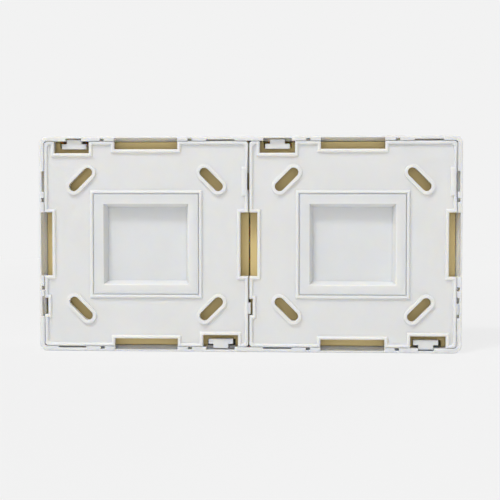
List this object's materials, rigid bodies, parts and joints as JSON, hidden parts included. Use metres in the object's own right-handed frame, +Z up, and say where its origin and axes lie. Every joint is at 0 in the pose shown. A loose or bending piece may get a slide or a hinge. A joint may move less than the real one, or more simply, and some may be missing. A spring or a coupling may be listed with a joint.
{
  "type": "switch and socket block",
  "caption": "Surface-mounted wall block with a rocker switch and an earthed round-pin socket under one long cover, closed by square slotted back plates.",
  "frame": {"origin": "middle of the face that lies on the wall", "axes": "+Z up, +X to the right seen from the front, +Y into the wall"},
  "size_m": [0.1664, 0.0457, 0.085],
  "materials": {
    "white_plastic": "satin moulded",
    "carrier_plastic": "matt moulded",
    "contact_brass": "stamped",
    "zinc_steel": "zinc plated",
    "contact_silver": "plain",
    "plunger_nylon": "natural"
  },
  "bodies": {
    "housing_body": {"housing_cover": "white_plastic", "back_plate_switch": "white_plastic", "back_plate_socket": "white_plastic", "entry_plug_switch": "white_plastic", "entry_plug_socket": "white_plastic", "socket_face": "white_plastic", "switch_carrier": "carrier_plastic", "socket_carrier": "carrier_plastic", "common_terminal": "contact_brass", "fixed_terminal": "contact_brass", "pin_contact_left": "contact_brass", "pin_contact_right": "contact_brass", "earth_strip": "contact_brass", "terminal_clamps_switch": "zinc_steel", "line_clamps": "zinc_steel", "earth_clamp": "zinc_steel", "face_screw": "zinc_steel", "fixed_tip": "contact_silver"},
    "rocker_body": {"rocker": "white_plastic", "rocker_plunger": "plunger_nylon", "plunger_spring": "zinc_steel"},
    "seesaw_body": {"seesaw_contact": "contact_brass", "moving_tip": "contact_silver"}
  },
  "joints": [
    {"name": "rocker_tilt", "type": "hinge", "parent": "housing_body", "child": "rocker_body", "pos_m": [-0.0407, -0.0375, 0], "axis": [1, 0, 0], "range_deg": [-7, 0]},
    {"name": "contact_tilt", "type": "hinge", "parent": "housing_body", "child": "seesaw_body", "pos_m": [-0.0407, -0.015, 0], "axis": [1, 0, 0], "range_deg": [0, 16]}
  ],
  "couplings": [
    {"joint": "contact_tilt", "follows": "rocker_tilt", "ratio": -2.2857}
  ]
}
